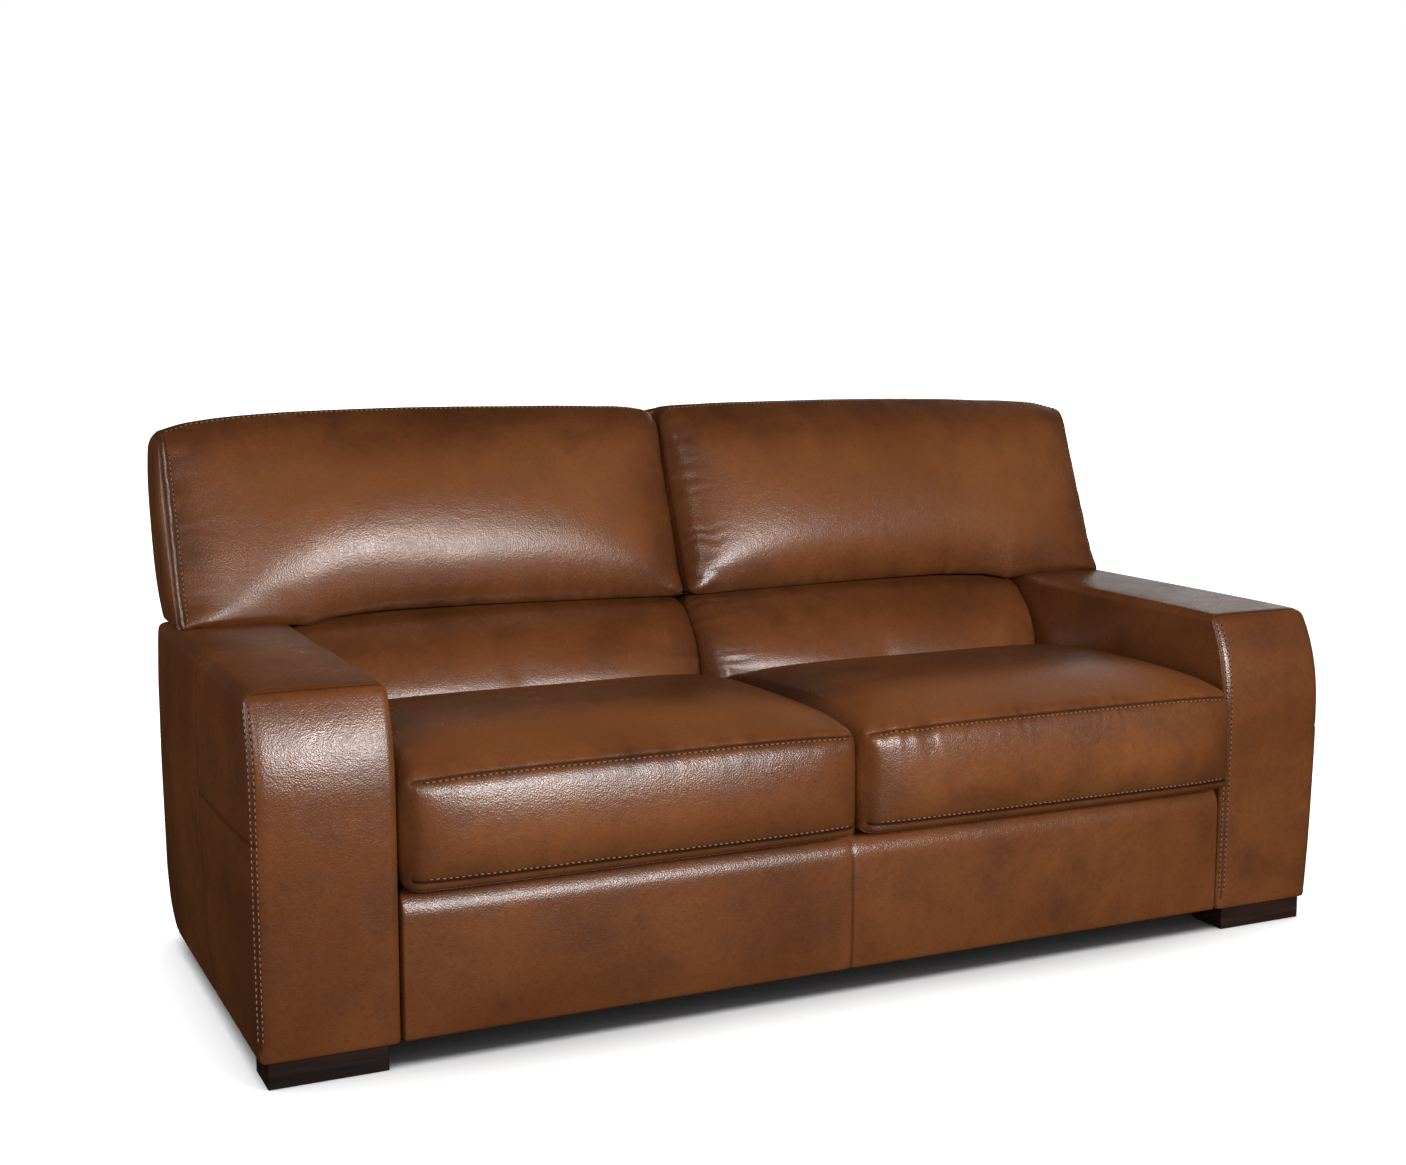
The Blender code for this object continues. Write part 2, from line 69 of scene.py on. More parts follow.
LUMBAR_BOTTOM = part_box("lumbar_cover_right")[0].z
SKIRT = CLEARANCE - 0.0065
BACK_GAP = 0.0008

SIDES = (("left", -1.0), ("right", 1.0))

# Soft surfaces
CELL = 0.009
PRESSURE = 4.0
SWELL_CAP = 0.014
FRAMES = 20
EVEN_PASSES = 14
TINT_PASSES = 6
EDGE_BAND = 0.13
SEAM_WIDTH = 0.005
# Degrees round an edge at which its grid lines stand
ARC_ANGLES = (45, 33, 22, 11, 0)
ARC = len(ARC_ANGLES) - 1

# Thread
STITCH_PITCH = 0.0100
STITCH_LENGTH = 0.0060
THREAD_RADIUS = 0.0010
HOLE_RADIUS = 0.0018


def lerp(a, b, t):
    return a + (b - a) * t


def smooth_step(low, high, value):
    t = np.clip((value - low) / (high - low), 0.0, 1.0)
    return t * t * (3 - 2 * t)


def hump(t, power=2.0):
    """1 in the middle of a span and 0 at its ends. A higher power is flatter in the middle."""
    return 1 - np.abs(2 * np.clip(t, 0, 1) - 1) ** power


def pillow(a, b, power=1.6):
    """Joins two fullness curves, each 0 at a seam, so that soft ridges run in from the corners."""
    a, b = np.maximum(a, 1e-3), np.maximum(b, 1e-3)
    return (a ** -power + b ** -power - 1) ** (-1 / power)


def ramp(value, points):
    """Straight runs through (position, value) points."""
    xs, ys = zip(*points)
    return np.interp(value, xs, ys)


def smooth_ramp(value, points):
    """A smooth curve through (position, value) points: cubic pieces that share their slopes."""
    xs, ys = (np.array(part, float) for part in zip(*points))
    slopes = np.gradient(ys, xs)
    value = np.clip(value, xs[0], xs[-1])
    n = np.clip(np.searchsorted(xs, value) - 1, 0, len(xs) - 2)
    run = xs[n + 1] - xs[n]
    t = (value - xs[n]) / run
    start = (1 + 2 * t) * (1 - t) ** 2 * ys[n] + t * (1 - t) ** 2 * run * slopes[n]
    return start + t * t * (3 - 2 * t) * ys[n + 1] - t * t * (1 - t) * run * slopes[n + 1]


def grid_lines(length, radii, cell):
    """Grid lines along one side of a block: close together over its rounded edges, even between."""
    steps = [1 - math.tan(math.radians(a)) for a in ARC_ANGLES]
    low = [radii[0] * t for t in steps] if radii[0] else [0.0]
    high = [length - radii[1] * t for t in reversed(steps)] if radii[1] else [length]
    count = max(1, round((high[0] - low[-1]) / cell))
    middle = [lerp(low[-1], high[0], i / count) for i in range(1, count)]
    return low + middle + high


def round_edges(point, size, radii):
    """Pulls points of a box's surface onto the same box with rounded edges, a radius for each face."""
    low, high = np.array(radii).T
    core = np.clip(point, low, size - high)
    out = point - core
    reach = np.where(out < 0, low, high)
    share = np.divide(out, reach, out=np.zeros_like(out), where=reach > 0)
    length = np.linalg.norm(share, axis=1, keepdims=True)
    share *= np.abs(share).max(1, keepdims=True) / np.maximum(length, 1e-9)
    return core + share * reach


class Block:
    """A closed rounded block of grid panels whose vertices are known by their grid steps."""

    def __init__(self, name, size, radii, shape, cell=CELL):
        self.name = name
        self.lines = [np.array(grid_lines(length, pair, cell)) for length, pair in zip(size, radii)]
        self.last = [len(line) - 1 for line in self.lines]
        self.index, self.steps, quads = {}, [], []
        nx, ny, nz = self.last
        for i in range(nx):
            for j in range(ny):
                quads.append([(i, j, 0), (i, j + 1, 0), (i + 1, j + 1, 0), (i + 1, j, 0)])
                quads.append([(i, j, nz), (i + 1, j, nz), (i + 1, j + 1, nz), (i, j + 1, nz)])
        for i in range(nx):
            for k in range(nz):
                quads.append([(i, 0, k), (i + 1, 0, k), (i + 1, 0, k + 1), (i, 0, k + 1)])
                quads.append([(i, ny, k), (i, ny, k + 1), (i + 1, ny, k + 1), (i + 1, ny, k)])
        for j in range(ny):
            for k in range(nz):
                quads.append([(0, j, k), (0, j, k + 1), (0, j + 1, k + 1), (0, j + 1, k)])
                quads.append([(nx, j, k), (nx, j + 1, k), (nx, j + 1, k + 1), (nx, j, k + 1)])
        faces = [[self.vertex(*corner) for corner in quad] for quad in quads]
        self.steps = np.array(self.steps)
        point = np.stack([self.lines[a][self.steps[:, a]] for a in range(3)], 1)
        size = np.array(size)
        u, v, w = (round_edges(point, size, radii) / size).T
        x, y, z = shape(u, v, w)
        coords = np.stack([x, y + ARM_FRONT_Y, z], 1)
        mesh = bpy.data.meshes.new(name)
        mesh.from_pydata(coords.tolist(), [], faces)
        if signed_volume(coords, faces) < 0:
            mesh.flip_normals()
        self.obj = bpy.data.objects.new(name, mesh)
        bpy.context.scene.collection.objects.link(self.obj)

    def vertex(self, i, j, k):
        key = (i, j, k)
        if key not in self.index:
            self.index[key] = len(self.steps)
            self.steps.append(key)
        return self.index[key]

    def nearest(self, axis, value):
        """The grid step nearest to a distance along one side."""
        return int(np.argmin(np.abs(self.lines[axis] - value)))

    def line(self, axis, **fixed):
        """The vertices along one axis where the other two steps are fixed, in order."""
        found = []
        for step in range(self.last[axis] + 1):
            key = tuple(step if a == axis else fixed["ijk"[a]] for a in range(3))
            if key in self.index:
                found.append(self.index[key])
        return found

    def on(self, test):
        """The vertices whose grid steps i, j and k pass a test."""
        i, j, k = self.steps.T
        return np.nonzero(test(i, j, k))[0].tolist()


def signed_volume(coords, faces):
    quads = coords[np.array(faces)]
    a, b, c, d = (quads[:, n] for n in range(4))
    return float((np.cross(a, b) * c).sum() + (np.cross(a, c) * d).sum())


def get_coords(obj):
    flat = np.empty(len(obj.data.vertices) * 3)
    obj.data.vertices.foreach_get("co", flat)
    return flat.reshape(-1, 3)


def set_coords(obj, coords):
    obj.data.vertices.foreach_set("co", coords.astype(np.float32).ravel())
    obj.data.update()


def get_normals(obj):
    flat = np.empty(len(obj.data.vertices) * 3)
    obj.data.vertex_normals.foreach_get("vector", flat)
    return flat.reshape(-1, 3)


def get_edges(obj):
    flat = np.empty(len(obj.data.edges) * 2, np.int64)
    obj.data.edges.foreach_get("vertices", flat)
    return flat.reshape(-1, 2)


def apply_modifiers(obj):
    graph = bpy.context.evaluated_depsgraph_get()
    mesh = bpy.data.meshes.new_from_object(obj.evaluated_get(graph))
    obj.modifiers.clear()
    obj.data = mesh


def hold_and_inflate(jobs):
    """Blows up every block at once as cloth held along its seams, and keeps each move under its cap."""
    scene = bpy.context.scene
    rest = {}
    for job in jobs:
        obj = job["block"].obj
        rest[obj.name] = get_coords(obj)
        group = obj.vertex_groups.new(name="held")
        group.add(sorted(set(job["held"])), 1.0, "REPLACE")
        cloth = obj.modifiers.new("Cloth", "CLOTH")
        settings = cloth.settings
        settings.quality = 4
        settings.mass = 0.3
        settings.use_pressure = True
        settings.uniform_pressure_force = PRESSURE
        settings.vertex_group_mass = "held"
        settings.shrink_min = -job["slack"]
        settings.bending_stiffness = job["bending"]
        settings.effector_weights.gravity = 0.0
        cloth.point_cache.frame_start = 1
        cloth.point_cache.frame_end = FRAMES
    for step in range(1, FRAMES + 1):
        scene.frame_set(step)
    for job in jobs:
        obj = job["block"].obj
        apply_modifiers(obj)
        move = get_coords(obj) - rest[obj.name]
        size = np.linalg.norm(move, axis=1, keepdims=True)
        capped = SWELL_CAP * np.tanh(size / SWELL_CAP)
        kept = even_out(obj, move * (capped / np.maximum(size, 1e-9)))
        set_coords(obj, press_flat(rest[obj.name] + kept, *job["walls"]))
        obj.vertex_groups.clear()
    scene.frame_set(1)


def even_out(obj, move):
    """Averages each vertex's move with its neighbours', to take out creases too fine for leather."""
    edges = get_edges(obj)
    a, b = edges.T
    count = np.bincount(edges.ravel(), minlength=len(move))[:, None]
    for _ in range(EVEN_PASSES):
        total = np.zeros_like(move)
        np.add.at(total, a, move[b])
        np.add.at(total, b, move[a])
        move = 0.5 * move + 0.5 * total / count
    return move


def press_flat(coords, inner, outer):
    """Flattens a cushion where it would swell past the walls beside it, which are places along X."""
    side = np.sign(coords[:, 0].mean())
    coords[:, 0] = side * np.clip(side * coords[:, 0], inner, outer)
    return coords


def subdivide(obj):
    modifier = obj.modifiers.new("Subdivision", "SUBSURF")
    modifier.levels = modifier.render_levels = 1
    apply_modifiers(obj)
    obj.data.shade_smooth()


def path_distance(coords, path):
    """Each point's distance to a polyline, and how far along the polyline its nearest place is."""
    starts, ends = path[:-1], path[1:]
    lengths = np.linalg.norm(ends - starts, axis=1)
    along = np.concatenate([[0.0], np.cumsum(lengths)])
    best = np.full(len(coords), 1e9)
    place = np.zeros(len(coords))
    for n, (a, b) in enumerate(zip(starts, ends)):
        run = b - a
        t = np.clip((coords - a) @ run / max(run @ run, 1e-12), 0, 1)
        far = np.linalg.norm(coords - (a + t[:, None] * run), axis=1)
        closer = far < best
        best = np.where(closer, far, best)
        place = np.where(closer, along[n] + t * lengths[n], place)
    return best, place


def add_tint(obj, values):
    """Adds to the piece's painted light and shade: below zero is painted shade, as in a seam's groove, and
    above zero is painted light.
    """
    data = obj.data
    layer = data.attributes.get("painted_light_and_shade") or data.attributes.new("painted_light_and_shade", "FLOAT", "POINT")
    old = np.zeros(len(data.vertices), np.float32)
    layer.data.foreach_get("value", old)
    layer.data.foreach_set("value", (old + values).astype(np.float32))


def sew(obj, path, depth, shade):
    """Sinks a seam into the leather along a path and darkens it with painted shade, as if shade lay in its
    groove.
    """
    coords, normals = get_coords(obj), get_normals(obj)
    far, _ = path_distance(coords, path)
    sink = np.exp(-(far / SEAM_WIDTH) ** 2)
    set_coords(obj, coords - normals * (depth * sink)[:, None])
    # Painted shade along the seam's groove
    add_tint(obj, -shade * np.exp(-(far / (SEAM_WIDTH * 0.45)) ** 2))


def gather(obj, path, height, pitch, reach, seed, span=None):
    """Puckers that run away from a seam: ridges across it that fade with distance, with painted highlight
    on the ridges and painted shade in the troughs.

    `span` keeps them to one part of the seam: from, to, and how softly they start and end.
    """
    coords, normals = get_coords(obj), get_normals(obj)
    far, place = path_distance(coords, path)
    near = np.nonzero(far < reach * 3)[0]
    lift = np.zeros(len(coords))
    for n in near:
        # Ridges wander, change slowly away from the seam, and come and go along it
        drift = noise.noise(Vector((place[n] / pitch * 0.35, far[n] / reach * 0.6, seed)))
        ridge = noise.noise(Vector((place[n] / pitch + drift, far[n] / reach * 0.25, seed + 7.3)))
        strength = max(0.0, 0.55 + noise.noise(Vector((place[n] / pitch * 0.22, 0.0, seed + 3.1))))
        lift[n] = ridge * strength
    fade = np.exp(-far / reach) * smooth_step(0.0, 0.006, far)
    if span is not None:
        low, high, soft = span
        share = place / max(place.max(), 1e-9)
        fade *= smooth_step(low - soft, low + soft, share)
        fade *= smooth_step(high + soft, high - soft, share)
    lift *= fade
    set_coords(obj, coords + normals * (height * 2 * lift)[:, None])
    # Painted highlight on the ridges and painted shade in the troughs
    add_tint(obj, 0.55 * lift)


def shade_edges(block, painted_shade, painted_light):
    """Painted shade toward a block's edges and painted light in the middle of its faces."""
    shares = []
    for axis, line in enumerate(block.lines):
        place = line[block.steps[:, axis]] / line[-1]
        shares.append(np.minimum(place, 1 - place) * line[-1])
    nearest = np.sort(np.stack(shares, 1), axis=1)[:, 1]
    middle = smooth_step(0.0, EDGE_BAND, nearest)
    values = np.full(len(block.obj.data.vertices), (painted_light - painted_shade) / 2)
    values[:len(middle)] = lerp(-painted_shade, painted_light, middle)
    spread_tint(block.obj, values, len(middle))


def shade_low(obj, painted_shade, top=0.50, bottom=0.06):
    """Painted shade that deepens from one height down to another: the lower parts are darkened as if less
    light reached them.
    """
    height = get_coords(obj)[:, 2]
    add_tint(obj, -painted_shade * smooth_step(top, bottom, height))


def shade_seat_top(obj):
    """Painted light on the seat's top toward its front seam and painted shade toward the back, where the
    back and arms shade it.
    """
    depth = get_coords(obj)[:, 1] - ARM_FRONT_Y
    front = smooth_step(-0.035, -0.005, depth) * smooth_step(0.20, 0.05, depth)
    rear = smooth_step(0.06, 0.30, depth)
    # Painted light at the front, painted shade at the rear
    add_tint(obj, 0.60 * front - 0.62 * rear)


def spread_tint(obj, values, known):
    """Adds painted light and shade known at some vertices only. The others get the mean of their known
    neighbours.
    """
    a, b = get_edges(obj).T
    fixed = np.arange(len(values)) < known
    for _ in range(TINT_PASSES):
        total, count = np.zeros(len(values)), np.zeros(len(values))
        for here, there in ((a, b), (b, a)):
            np.add.at(total, here, values[there])
            np.add.at(count, here, 1)
        values = np.where(fixed, values, total / np.maximum(count, 1))
    add_tint(obj, values)


def add_thread(verts, faces, centre, tangent, side, normal):
    """One stitch: a short six-sided bar with drawn-in ends."""
    base = len(verts)
    for share, size in ((-1.0, 0.25), (-0.62, 1.0), (0.62, 1.0), (1.0, 0.25)):
        ring = centre + tangent * (share * STITCH_LENGTH / 2)
        for n in range(6):
            turn = n * math.pi / 3
            rim = side * math.cos(turn) + normal * math.sin(turn)
            verts.append(ring + rim * THREAD_RADIUS * size)
    for ring in range(3):
        for n in range(6):
            a, b = base + ring * 6 + n, base + ring * 6 + (n + 1) % 6
            faces.append((a, b, b + 6, a + 6))
    faces.append(tuple(base + n for n in reversed(range(6))))
    faces.append(tuple(base + 18 + n for n in range(6)))


def add_hole(verts, faces, centre, tangent, side, normal):
    """The dimple where the needle went through: a flat six-sided lens, coloured as painted shade for the
    hole.
    """
    base = len(verts)
    verts += [centre + normal * THREAD_RADIUS * 0.4, centre - normal * THREAD_RADIUS]
    for n in range(6):
        turn = n * math.pi / 3
        verts.append(centre + (tangent * math.cos(turn) + side * math.sin(turn)) * HOLE_RADIUS)
    for n in range(6):
        a, b = base + 2 + n, base + 2 + (n + 1) % 6
        faces.append((base, a, b))
        faces.append((base + 1, b, a))


def stitches(name, obj, path, across, toward, body="root"):
    """A row of stitches and needle holes beside a path, `across` metres off it toward one side."""
    tree = BVHTree.FromObject(obj, bpy.context.evaluated_depsgraph_get())
    lengths = np.linalg.norm(np.diff(path, axis=0), axis=1)
    along = np.concatenate([[0.0], np.cumsum(lengths)])

    def at(place):
        return Vector([np.interp(place, along, path[:, a]) for a in range(3)])

    verts, thread_faces, hole_faces = [], [], []
    for n in range(2 * int(along[-1] / STITCH_PITCH)):
        place = (n + 1) * STITCH_PITCH / 2
        tangent = (at(place + 0.003) - at(place - 0.003)).normalized()
        hit, normal, _, _ = tree.find_nearest(at(place))
        side = tangent.cross(normal).normalized()
        if side.dot(Vector(toward)) < 0:
            side = -side
        hit, normal, _, _ = tree.find_nearest(hit + side * across)
        side = tangent.cross(normal).normalized()
        if n % 2:
            add_hole(verts, hole_faces, hit, tangent, side, normal)
        else:
            add_thread(verts, thread_faces, hit + normal * THREAD_RADIUS * 0.55, tangent, side, normal)
    mesh = bpy.data.meshes.new(name)
    mesh.from_pydata([tuple(v) for v in verts], [], thread_faces + hole_faces)
    mesh.shade_smooth()
    mesh.materials.append(MATERIALS["thread"])
    mesh.materials.append(MATERIALS["needle_hole_shade"])
    slots = [0] * len(thread_faces) + [1] * len(hole_faces)
    mesh.polygons.foreach_set("material_index", slots)
    thread = bpy.data.objects.new(name, mesh)
    bpy.context.scene.collection.objects.link(thread)
    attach(thread, body)


# ---------------------------------------------------------------- materials


class Nodes:
    """Short helpers for building one material's nodes."""

    def __init__(self, name):
        self.material = bpy.data.materials.new(name)
        self.material.use_nodes = True
        self.tree = self.material.node_tree
        self.shader = self.tree.nodes["Principled BSDF"]
        self.place = self.add("ShaderNodeTexCoord").outputs["Object"]

    def add(self, kind, **values):
        node = self.tree.nodes.new(kind)
        for key, value in values.items():
            setattr(node, key, value)
        return node

    def link(self, source, target):
        self.tree.links.new(source, target)

    def put(self, socket, value):
        if isinstance(value, (int, float, tuple)):
            socket.default_value = value
        else:
            self.link(value, socket)

    def stretched(self, stretch):
        """Object coordinates, scaled along each axis."""
        mapping = self.add("ShaderNodeMapping")
        mapping.inputs["Scale"].default_value = stretch
        self.link(self.place, mapping.inputs["Vector"])
        return mapping.outputs[0]

    def noise(self, scale, detail=2.0, rough=0.5, stretch=(1, 1, 1), warp=0.0):
        node = self.add("ShaderNodeTexNoise")
        node.inputs["Scale"].default_value = scale
        node.inputs["Detail"].default_value = detail
        node.inputs["Roughness"].default_value = rough
        node.inputs["Distortion"].default_value = warp
        self.link(self.stretched(stretch), node.inputs["Vector"])
        return node.outputs["Fac"]

    def voronoi(self, scale):
        node = self.add("ShaderNodeTexVoronoi")
        node.inputs["Scale"].default_value = scale
        self.link(self.place, node.inputs["Vector"])
        return node.outputs["Distance"]

    def math(self, operation, a, b=0.0):
        node = self.add("ShaderNodeMath", operation=operation)
        self.put(node.inputs[0], a)
        self.put(node.inputs[1], b)
        return node.outputs[0]

    def span(self, value, low, high, to_low=0.0, to_high=1.0):
        node = self.add("ShaderNodeMapRange")
        node.inputs["From Min"].default_value = low
        node.inputs["From Max"].default_value = high
        self.put(node.inputs["To Min"], to_low)
        self.put(node.inputs["To Max"], to_high)
        self.link(value, node.inputs["Value"])
        return node.outputs[0]

    def mix(self, share, a, b, blend="MIX"):
        node = self.add("ShaderNodeMix", data_type="RGBA", blend_type=blend)
        self.put(node.inputs["Factor"], share)
        self.put(node.inputs[6], a)
        self.put(node.inputs[7], b)
        return node.outputs[2]

    def bump(self, height, distance, strength=1.0, under=None):
        node = self.add("ShaderNodeBump")
        node.inputs["Distance"].default_value = distance
        node.inputs["Strength"].default_value = strength
        self.link(height, node.inputs["Height"])
        if under is not None:
            self.link(under, node.inputs["Normal"])
        return node.outputs["Normal"]

    def finish(self, colour, roughness, normal=None, **fixed):
        self.put(self.shader.inputs["Base Color"], colour)
        self.put(self.shader.inputs["Roughness"], roughness)
        if normal is not None:
            self.link(normal, self.shader.inputs["Normal"])
        for key, value in fixed.items():
            self.shader.inputs[key.replace("_", " ")].default_value = value
        return self.material


def rgb(red, green, blue):
    return (red, green, blue, 1.0)


def leather_material():
    """Chestnut leather: cloudy dye, creased pebble grain and a soft waxed gloss, with painted light and
    painted shade mixed in from a vertex attribute.
    """
    n = Nodes("chestnut_leather")
    clouds = n.noise(2.6, 3.0, 0.5, warp=0.5)
    blotches = n.noise(10.0, 6.0, 0.62, warp=0.3)
    flecks = n.noise(120.0, 4.0, 0.7)
    wrinkles = n.noise(70.0, 4.0, 0.62, warp=1.2)
    pores = n.voronoi(360.0)
    dark, middle = rgb(0.054, 0.0148, 0.0042), rgb(0.134, 0.0402, 0.0106)
    bright = rgb(0.198, 0.0648, 0.0188)
    base = n.mix(n.span(clouds, 0.34, 0.66), middle, bright)
    base = n.mix(n.span(blotches, 0.44, 0.80, 0.0, 0.60), base, dark)
    base = n.mix(n.span(flecks, 0.50, 0.80, 0.0, 0.40), base, rgb(0.052, 0.0130, 0.0036))
    # Painted light mixes toward a paler colour above zero, and painted shade toward near black below zero
    painted_light_and_shade = n.add("ShaderNodeAttribute", attribute_name="painted_light_and_shade").outputs["Fac"]
    base = n.mix(n.span(painted_light_and_shade, 0.0, 1.0, 0.0, 0.60), base, rgb(0.29, 0.098, 0.028))
    base = n.mix(n.span(painted_light_and_shade, 0.0, -1.0, 0.0, 0.9), base, rgb(0.012, 0.004, 0.0015))
    folds = n.noise(24.0, 4.0, 0.55, stretch=(1.0, 1.0, 1.4), warp=0.8)
    soft = n.bump(folds, 0.0026, 0.22)
    creased = n.bump(wrinkles, 0.0012, 0.24, under=soft)
    grain = n.bump(pores, 0.0008, 0.36, under=creased)
    fine = n.bump(n.noise(900.0, 2.0), 0.0003, 0.20, under=grain)
    worn = n.span(blotches, 0.35, 0.7, 0.25, 0.33)
    rough = n.math("ADD", worn, n.span(wrinkles, 0.4, 0.7, 0.0, 0.07))
    return n.finish(base, rough, fine, Specular_IOR_Level=0.62)


def wood_material(name, dark, light, roughness, gloss=0.5, along=0):
    """Straight-grained wood: long fibres along one axis over broad growth bands."""
    n = Nodes(name)
    long_axis = [1.0, 1.0, 1.0]
    long_axis[along] = 0.06
    fibres = n.noise(170.0, 4.0, 0.6, stretch=tuple(long_axis))
    bands = n.noise(22.0, 3.0, 0.55, stretch=tuple(long_axis), warp=1.5)
    colour = n.mix(n.span(bands, 0.35, 0.65), dark, light)
    colour = n.mix(n.span(fibres, 0.45, 0.75, 0.0, 0.6), colour, dark)
    normal = n.bump(fibres, 0.0006, 0.5)
    rough = n.span(fibres, 0.3, 0.7, roughness - 0.06, roughness + 0.08)
    return n.finish(colour, rough, normal, Specular_IOR_Level=gloss)


def plywood_material():
    n = Nodes("birch_plywood")
    figure = n.noise(9.0, 4.0, 0.6, stretch=(1.0, 0.3, 1.0), warp=2.0)
    fibres = n.noise(210.0, 3.0, 0.6, stretch=(0.1, 0.1, 1.0))
    colour = n.mix(n.span(figure, 0.35, 0.65), rgb(0.56, 0.38, 0.22), rgb(0.72, 0.54, 0.34))
    colour = n.mix(n.span(fibres, 0.5, 0.8, 0.0, 0.5), colour, rgb(0.42, 0.27, 0.15))
    return n.finish(colour, n.span(fibres, 0.3, 0.7, 0.60, 0.75), n.bump(fibres, 0.0004, 0.4))


def woven_material(name, dark, light, pitch, roughness=0.9):
    """Plain woven cloth: crossing threads in three directions, so that it shows on any face."""
    n = Nodes(name)
    split = n.add("ShaderNodeSeparateXYZ")
    n.link(n.place, split.inputs[0])
    rate = 2 * math.pi / pitch
    waves = [n.math("SINE", n.math("MULTIPLY", split.outputs[a], rate)) for a in range(3)]
    weave = n.math("MULTIPLY", n.math("ADD", waves[0], waves[1]), waves[2])
    weave = n.math("ADD", n.math("MULTIPLY", waves[0], waves[1]), n.math("MULTIPLY", weave, 0.5))
    wear = n.noise(60.0, 3.0)
    colour = n.mix(n.span(weave, -1.0, 1.0), dark, light)
    colour = n.mix(n.span(wear, 0.4, 0.7, 0.0, 0.3), colour, light)
    return n.finish(colour, roughness, n.bump(weave, 0.0005, 0.5), Sheen_Weight=0.25, Sheen_Roughness=0.5)


def foam_material():
    n = Nodes("seat_foam")
    cells = n.voronoi(700.0)
    age = n.noise(5.0, 3.0)
    colour = n.mix(n.span(age, 0.35, 0.65), rgb(0.80, 0.74, 0.50), rgb(0.86, 0.82, 0.62))
    colour = n.mix(n.span(cells, 0.0, 0.5, 0.35, 0.0), colour, rgb(0.52, 0.45, 0.26))
    return n.finish(colour, n.span(cells, 0.0, 0.6, 0.98, 0.88), n.bump(cells, 0.0006, 0.6))


def steel_material():
    n = Nodes("zinc_plated_steel")
    spangle = n.noise(120.0, 4.0, 0.6)
    colour = n.mix(n.span(spangle, 0.35, 0.65), rgb(0.42, 0.43, 0.45), rgb(0.66, 0.67, 0.68))
    rough = n.span(spangle, 0.3, 0.7, 0.28, 0.46)
    return n.finish(colour, rough, n.bump(spangle, 0.0001, 0.3), Metallic=1.0)


def thread_material():
    n = Nodes("pale_thread")
    twist = n.noise(1400.0, 2.0, stretch=(1.0, 1.0, 0.4))
    soil_and_hole_shade = n.noise(45.0, 2.0)
    colour = n.mix(n.span(twist, 0.35, 0.65), rgb(0.17, 0.080, 0.037), rgb(0.33, 0.180, 0.096))
    colour = n.mix(n.span(soil_and_hole_shade, 0.45, 0.75, 0.0, 0.5), colour, rgb(0.15, 0.065, 0.028))
    return n.finish(colour, n.span(twist, 0.3, 0.7, 0.55, 0.72), n.bump(twist, 0.0002, 0.5))


def hole_shade_material():
    n = Nodes("needle_holes_painted_shade")
    soil_and_hole_shade = n.noise(300.0, 2.0)
    # Near black: painted shade standing in for the depth of the hole
    colour = n.mix(n.span(soil_and_hole_shade, 0.35, 0.65), rgb(0.010, 0.004, 0.002), rgb(0.026, 0.009, 0.004))
    return n.finish(colour, n.span(soil_and_hole_shade, 0.3, 0.7, 0.75, 0.90))


def floor_material():
    n = Nodes("studio_floor")
    cloud = n.noise(1.3, 3.0)
    colour = n.mix(n.span(cloud, 0.3, 0.7), rgb(0.86, 0.86, 0.86), rgb(0.90, 0.90, 0.90))
    return n.finish(colour, n.span(cloud, 0.3, 0.7, 0.80, 0.88))


MATERIALS = {
    "leather": leather_material(),
    "timber": wood_material("pine_rails", rgb(0.42, 0.25, 0.12), rgb(0.66, 0.46, 0.26), 0.68),
    "feet": wood_material("espresso_oak_feet", rgb(0.008, 0.0040, 0.003), rgb(0.034, 0.0140, 0.009),
                          0.50, 0.22),
    "plywood": plywood_material(),
    "cloth": woven_material("black_lining", rgb(0.006, 0.006, 0.007), rgb(0.030, 0.030, 0.032), 0.0016),
    "webbing": woven_material("elastic_webbing", rgb(0.34, 0.28, 0.19), rgb(0.58, 0.50, 0.38), 0.003),
    "foam": foam_material(),
    "steel": steel_material(),
    "thread": thread_material(),
    "needle_hole_shade": hole_shade_material(),
}


def dress_frame():
    """Gives every CAD node that stays its procedural material, by its slot in the record."""
    for part in frame["record"]["subparts"]:
        mesh = frame["nodes"][part["node"]].data
        mesh.materials.clear()
        mesh.materials.append(MATERIALS[part["material_slot"]])


# ---------------------------------------------------------------- pieces


def finish_piece(obj, replaced, body="root"):
    """Dresses a leather piece that stands for some CAD nodes."""
    obj.data.materials.clear()
    obj.data.materials.append(MATERIALS["leather"])
    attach(obj, body)
    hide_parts(*replaced)


def seat_cushion(side, sign):
    """A loose seat: boxed front, crowned top, soft rolls at the edges."""
    size = (SEAT_OUTER - SEAT_INNER, 0.600, 0.182)
    radii = ((0.024, 0.024), (0.030, 0.030), (0.012, 0.026))

    def shape(u, v, w):
        pinch = 0.004 * (1 - hump(v, 6) * hump(w, 2.5))
        x = sign * lerp(SEAT_INNER + pinch, SEAT_OUTER - pinch, u)
        front = -0.041 - 0.010 * hump(w, 4.0) * hump(u, 8) + 0.005 * (1 - hump(u, 6))
        crown = (0.024 + 0.019 * hump(u, 4.0) ** 0.8) * hump(v ** 0.72, 2.6) ** 0.75
        top = 0.467 + crown + 0.003 * hump(u, 6)
        return x, lerp(front, 0.562, v), lerp(SEAT_BOTTOM + 0.001, top, w)

    block = Block(f"seat_cushion_{side}", size, radii, shape)
    _, ny, nz = block.last
    block.seam = block.line(0, j=0, k=nz)
    block.low_seam = block.line(0, j=0, k=block.nearest(2, 0.019))
    held = block.seam + block.low_seam + block.on(lambda i, j, k: (k == 0) | (j == ny))
    return {"block": block, "held": held, "slack": 0.0, "bending": 0.8,
            "walls": (SEAT_INNER - 0.0006, SEAT_OUTER + 0.0006)}


def lumbar_profile(z):
    """Depth of the lumbar pad's front at a height, before its fullness."""
    lean = [(0.44, 0.0), (0.50, 0.016), (0.55, 0.046), (0.585, 0.086), (0.61, 0.120)]
    return 0.584 + smooth_ramp(z, lean)


